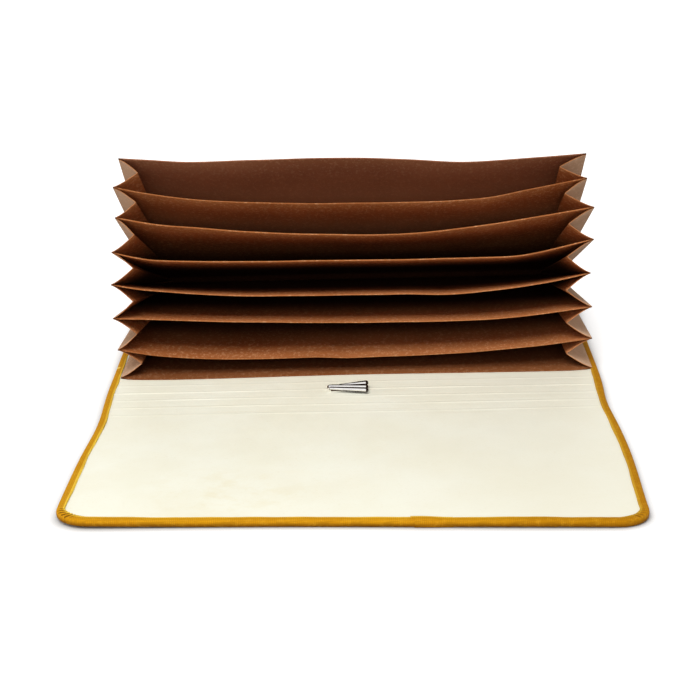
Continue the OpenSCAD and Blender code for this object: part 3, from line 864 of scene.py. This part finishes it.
# Rows from the closed end to the mouth, closer together at the cut edge
out_rows = sorted({panel_depth * i / 30 for i in range(31)} | {102.4, 103.2, 103.6})
columns = stations(-panel_half, panel_half, 3.0)
for k in range(8):
    bm = sheet(columns, out_rows, lambda x, r: Vector((x, r, 0)))
    # painted shade along the cut edge and at the mouth's ends, written as a value below 0
    mark(bm, "rim", lambda v: -mouth_shade(k, v.co.x, v.co.y))
    # painted shade darkens the paper deep in the pocket, and painted light brightens it there where the value
    # is below 0
    mark(bm, "deep", lambda v: deep_shade_and_light[k][0] * (1 - smooth_step(v.co.y, deep_shade_and_light[k][1], deep_shade_and_light[k][2])))
    for v in bm.verts:
        v.co = panel_point(k, v.co.x, v.co.y, paper)
    bmesh.ops.reverse_faces(bm, faces=bm.faces[:])
    thicken(bm, paper - 0.05, 1)
    two_sides = [kraft_outside, kraft_front] if k == 0 else [kraft_inside, kraft_inside]
    panel = finished(bm, "panel_" + panel_nodes[k], two_sides)
    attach(panel, panel_bodies[k])
    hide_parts(panel_nodes[k])
    if k < 7:
        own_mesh(panel)


# Gussets and closed ends
# Side pleats of the same paper, folded inwards once between two panels, tan outside and
# red-brown inside. At the closed end the paper goes round in one rounded fold.

leaf_width = 11.0
leaf_paper = 0.22
# How far out the painted shade inside pleats 1 to 7 reaches, after a first value that stands for none
pleat_shade_reach = (0.0, 48.0, 60.0, 84.0, 106.0, 100.0, 84.0, 84.0)
# The share of a leaf's rise that it makes in a soft curve, which starts flat at the panel
s_bend = 0.6


def gusset_leaf(i, side, upper):
    """One leaf of the pleat of pocket i, from its panel's edge to the inner fold."""
    low, high = i, i - 1
    edge = side * panel_half
    steps = [j / 10 for j in range(11)]
    reach = [0.6 + (panel_depth - 0.9) * j / 24 for j in range(25)]
    angle = radians(pocket_open[i])

    def point(s, r):
        a = panel_point(low, edge, r, paper - 0.02)
        b = panel_point(high, edge, r * cos(angle), 0.02)
        gap = (b - a).length
        inset = sqrt(leaf_width ** 2 - (gap / 2) ** 2)
        inset += (-0.9 if side < 0 else 0.5) * (r / panel_depth)
        closed = pocket_step - paper
        bend = 0.5 * s * (1 - s_bend) + s_bend * (0.75 * s * s - 0.25 * s ** 3)
        lifted = closed / 2 * s + (gap - closed) * bend
        toward = (b - a).normalized()
        start, sense = (b, -1) if upper else (a, 1)
        return start + toward * lifted * sense + Vector((-side * inset * s, 0, 0))

    return steps, reach, point


# How far out from the closed end a pleat's fold is measured across
measured_at = 60.0


def blend_line(i, side):
    """Start and end across the pleat, square to its inner fold, which lies half way."""
    _, reach, point = gusset_leaf(i, side, False)
    fold = (point(1.0, reach[-1]) - point(1.0, reach[0])).normalized()
    inner = point(1.0, measured_at)
    across_fold = Vector(((inner - point(0.0, measured_at)).x, 0, 0))
    across_fold -= fold * across_fold.dot(fold)
    return inner - across_fold, inner + across_fold


for i in range(7, 0, -1):
    for side, word in ((-1, "left"), (1, "right")):
        start, end = blend_line(i, side)
        lower_body, upper_body = panel_bodies[i], panel_bodies[i - 1]
        for upper in (False, True):
            steps, reach, point = gusset_leaf(i, side, upper)
            bm = sheet(steps, reach, lambda s, r: Vector((s, r, 0)))
            mark(bm, "rim", lambda v: max(0.0, (v.co.y - 102.8) / 0.9) * 0.3)
            # painted shade inside the pleat, fading out toward the mouth
            mark(bm, "deep", lambda v: 0.9 * (1 - smooth_step(v.co.y, pleat_shade_reach[i] - 50.0, pleat_shade_reach[i])))
            for v in bm.verts:
                v.co = point(v.co.x, v.co.y)
            # the sheet's front faces are the ones outside the pocket
            if (side < 0) != upper:
                bmesh.ops.reverse_faces(bm, faces=bm.faces[:])
            name = "pleat_%s_%d_%s" % (word, i, "upper" if upper else "lower")
            leaf = finished(thicken(bm, leaf_paper, 1), name, [kraft_outside, kraft_inside])
            bodies = (upper_body, lower_body) if upper else (lower_body, upper_body)
            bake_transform(leaf, *bodies, start=start * MM, end=end * MM)
            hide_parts("gusset_%s_%d" % (word, i))

floor_paper, floor_bulge = 0.3, 1.1
floor_columns = stations(-panel_half, panel_half, 6.0)
floor_rows = [j / 10 for j in range(11)]
for i in range(7, 0, -1):

    def back_point(x, s):
        round_out = floor_bulge * sin(pi * s) ** 0.6
        return on_panel(i, x, 0.5 - round_out, paper - 0.1 + (pocket_step - paper + 0.2) * s)

    bm = sheet(floor_columns, floor_rows, back_point)
    mark(bm, "deep", lambda v: 0.9)
    # the inner side of each closed end takes the dark copy of the kraft, as painted shade
    closed_end = finished(thicken(bm, floor_paper, 1), "closed_end_%d" % i, [kraft_painted_shade, kraft_outside])
    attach(closed_end, panel_bodies[i])
    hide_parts("pocket_floor_%d" % i)


# Clip
# A small sprung clip of nickel-plated steel, riveted to the spine close to the mouths.
# Three ribs are pressed into its tongue and spread from the rolled end to three lobes.
# The grooves between them and both ends of each rib carry painted shade and dark reflections, in a dull dark
# colour.

nickel, tree, shader = surface("nickel_plate")
cloud = use(tree, clouding, Vector=place_on(tree), Size=400.0)
shade_reflection = marked(tree, "shade_reflection")
tone = mixed(tree, cloud["Tone"], colour(232, 229, 228), colour(248, 245, 240))
# painted shade and dark reflections: dull, dark and not metallic
tone = mixed(tree, ranged(tree, shade_reflection, 0.3, 0.7), tone, colour(36, 22, 15))
rough = put(tree, "ShaderNodeMapRange", {0: cloud["Fine"], 3: 0.08, 4: 0.18}).outputs[0]
rough = combined(tree, "ADD", rough, ranged(tree, shade_reflection, 0.3, 0.7, 0.0, 0.8))
tree.links.new(ranged(tree, shade_reflection, 0.3, 0.7, 1.0, 0.0), shader.inputs["Metallic"])
tree.links.new(ranged(tree, shade_reflection, 0.3, 0.7, 0.5, 0.03), shader.inputs["Specular IOR Level"])
feed(tree, shader, tone, rough, cloud["Fine"], 0.05, 0.00003)

for name in ("clip_base", "clip_rivet"):
    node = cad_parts[name]
    node.data.materials.clear()
    node.data.materials.append(nickel)

clip_y, clip_seat = -69.8, 2.72
# Each rib ends in a round lobe, broader than it is high by the factor flatness
lobe_x, lobe_r, flatness = 4.5, 0.86, 1.6
# Each rib, front to back: where it starts and its radius there, then how far back and how high its
# middle lies, at its start and at its lobe
ribs = (
    (-9.1, 0.64, -1.30, 0.0, -4.1, 0.0),
    (-9.4, 0.72, 0.30, 0.3, -1.2, 0.3),
    (-5.6, 0.36, 1.30, 0.75, 2.0, 0.8),
)
# Rings of a rib as shares of its length, closer together at its round ends
rib_rings = (0.0, 0.01, 0.03, 0.07, 0.15, 0.3, 0.45, 0.6, 0.75, 0.86, 0.89, 0.91, 0.93, 0.95, 0.97, 0.985,
             0.997, 1.0)
# Degrees round a rib from its back, between which its bright side begins and ends
bright_begins, bright_ends = (116, 142), (188, 208)


def rib_middle(rib, x):
    """Middle of a rib at x, its radius there, and how far along it that is."""
    start_x, start_r, y0, z0, y1, z1 = rib
    along = min(1.0, max(0.0, (x - start_x) / (lobe_x - start_x)))
    radius = start_r + (lobe_r - start_r) * along
    return y0 + (y1 - y0) * along, z0 + (z1 - z0) * along + clip_seat + 0.85 * radius, radius, along


def web_point(x, t):
    """A point of the flat web that joins the ribs: t runs from 0 at the front one to 2 at the back one."""
    i = min(1, int(t))
    (ya, za, _, _), (yb, zb, _, _) = rib_middle(ribs[i], x), rib_middle(ribs[i + 1], x)
    return Vector((x, clip_y + ya + (yb - ya) * (t - i), za + (zb - za) * (t - i) - 0.1))


web_start, web_length, web_thickness = -9.0, 13.3, 0.3
web_columns = [web_start + web_length * i / 20 for i in range(21)]
web = sheet(web_columns, [0.0, 0.5, 1.0, 1.5, 2.0], web_point)
# the web between the ribs is painted dark all over, as the shade and dark reflection between them
mark(web, "shade_reflection", lambda v: 1.0)
web = finished(thicken(web, web_thickness), "clip_web", [nickel])
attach(web, "clip_tongue")

bm = bmesh.new()
shade_reflection_layer = bm.verts.layers.float.new("shade_reflection")
for rib in ribs:
    start_x, start_r = rib[:2]
    ring = bmesh.ops.create_circle(bm, segments=40, radius=1.0, cap_ends=False)["verts"]
    edges = list({e for v in ring for e in v.link_edges})
    rings = [ring]
    for _ in rib_rings[1:]:
        grown = bmesh.ops.extrude_edge_only(bm, edges=edges)["geom"]
        ring = [g for g in grown if isinstance(g, bmesh.types.BMVert)]
        edges = [g for g in grown if isinstance(g, bmesh.types.BMEdge) and all(v in ring for v in g.verts)]
        rings.append(ring)
    for s, ring in zip(rib_rings, rings):
        x = start_x - start_r + (lobe_x + lobe_r - start_x + start_r) * s
        middle_y, middle_z, radius, along = rib_middle(rib, x)
        if x < start_x:
            radius *= sqrt(max(0.02, 1 - ((start_x - x) / start_r) ** 2))
        if x > lobe_x:
            radius *= sqrt(max(0.02, 1 - ((x - lobe_x) / lobe_r) ** 2))
        breadth = radius * (1 + (flatness - 1) * along)
        # painted shade and dark reflections lie in the grooves on both sides of the bright part, and round
        # both ends
        shaded_ends = max(smooth_step(x, lobe_x - 0.3, lobe_x),
                          1 - smooth_step(x, start_x - 0.5, start_x - 0.1))
        for v in ring:
            angle = atan2(v.co.y, v.co.x) % (2 * pi)
            v[shade_reflection_layer] = max(1 - smooth_step(angle, *map(radians, bright_begins)),
                                 smooth_step(angle, *map(radians, bright_ends)), shaded_ends)
            v.co = Vector((x, clip_y + middle_y + cos(angle) * breadth,
                           max(clip_seat, middle_z + sin(angle) * radius)))
    bmesh.ops.holes_fill(bm, edges=[e for e in bm.edges if len(e.link_faces) == 1], sides=0)
bmesh.ops.recalc_face_normals(bm, faces=bm.faces[:])
flutes = finished(bm, "clip_flutes", [nickel])
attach(flutes, "clip_tongue")
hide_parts("clip_tongue")
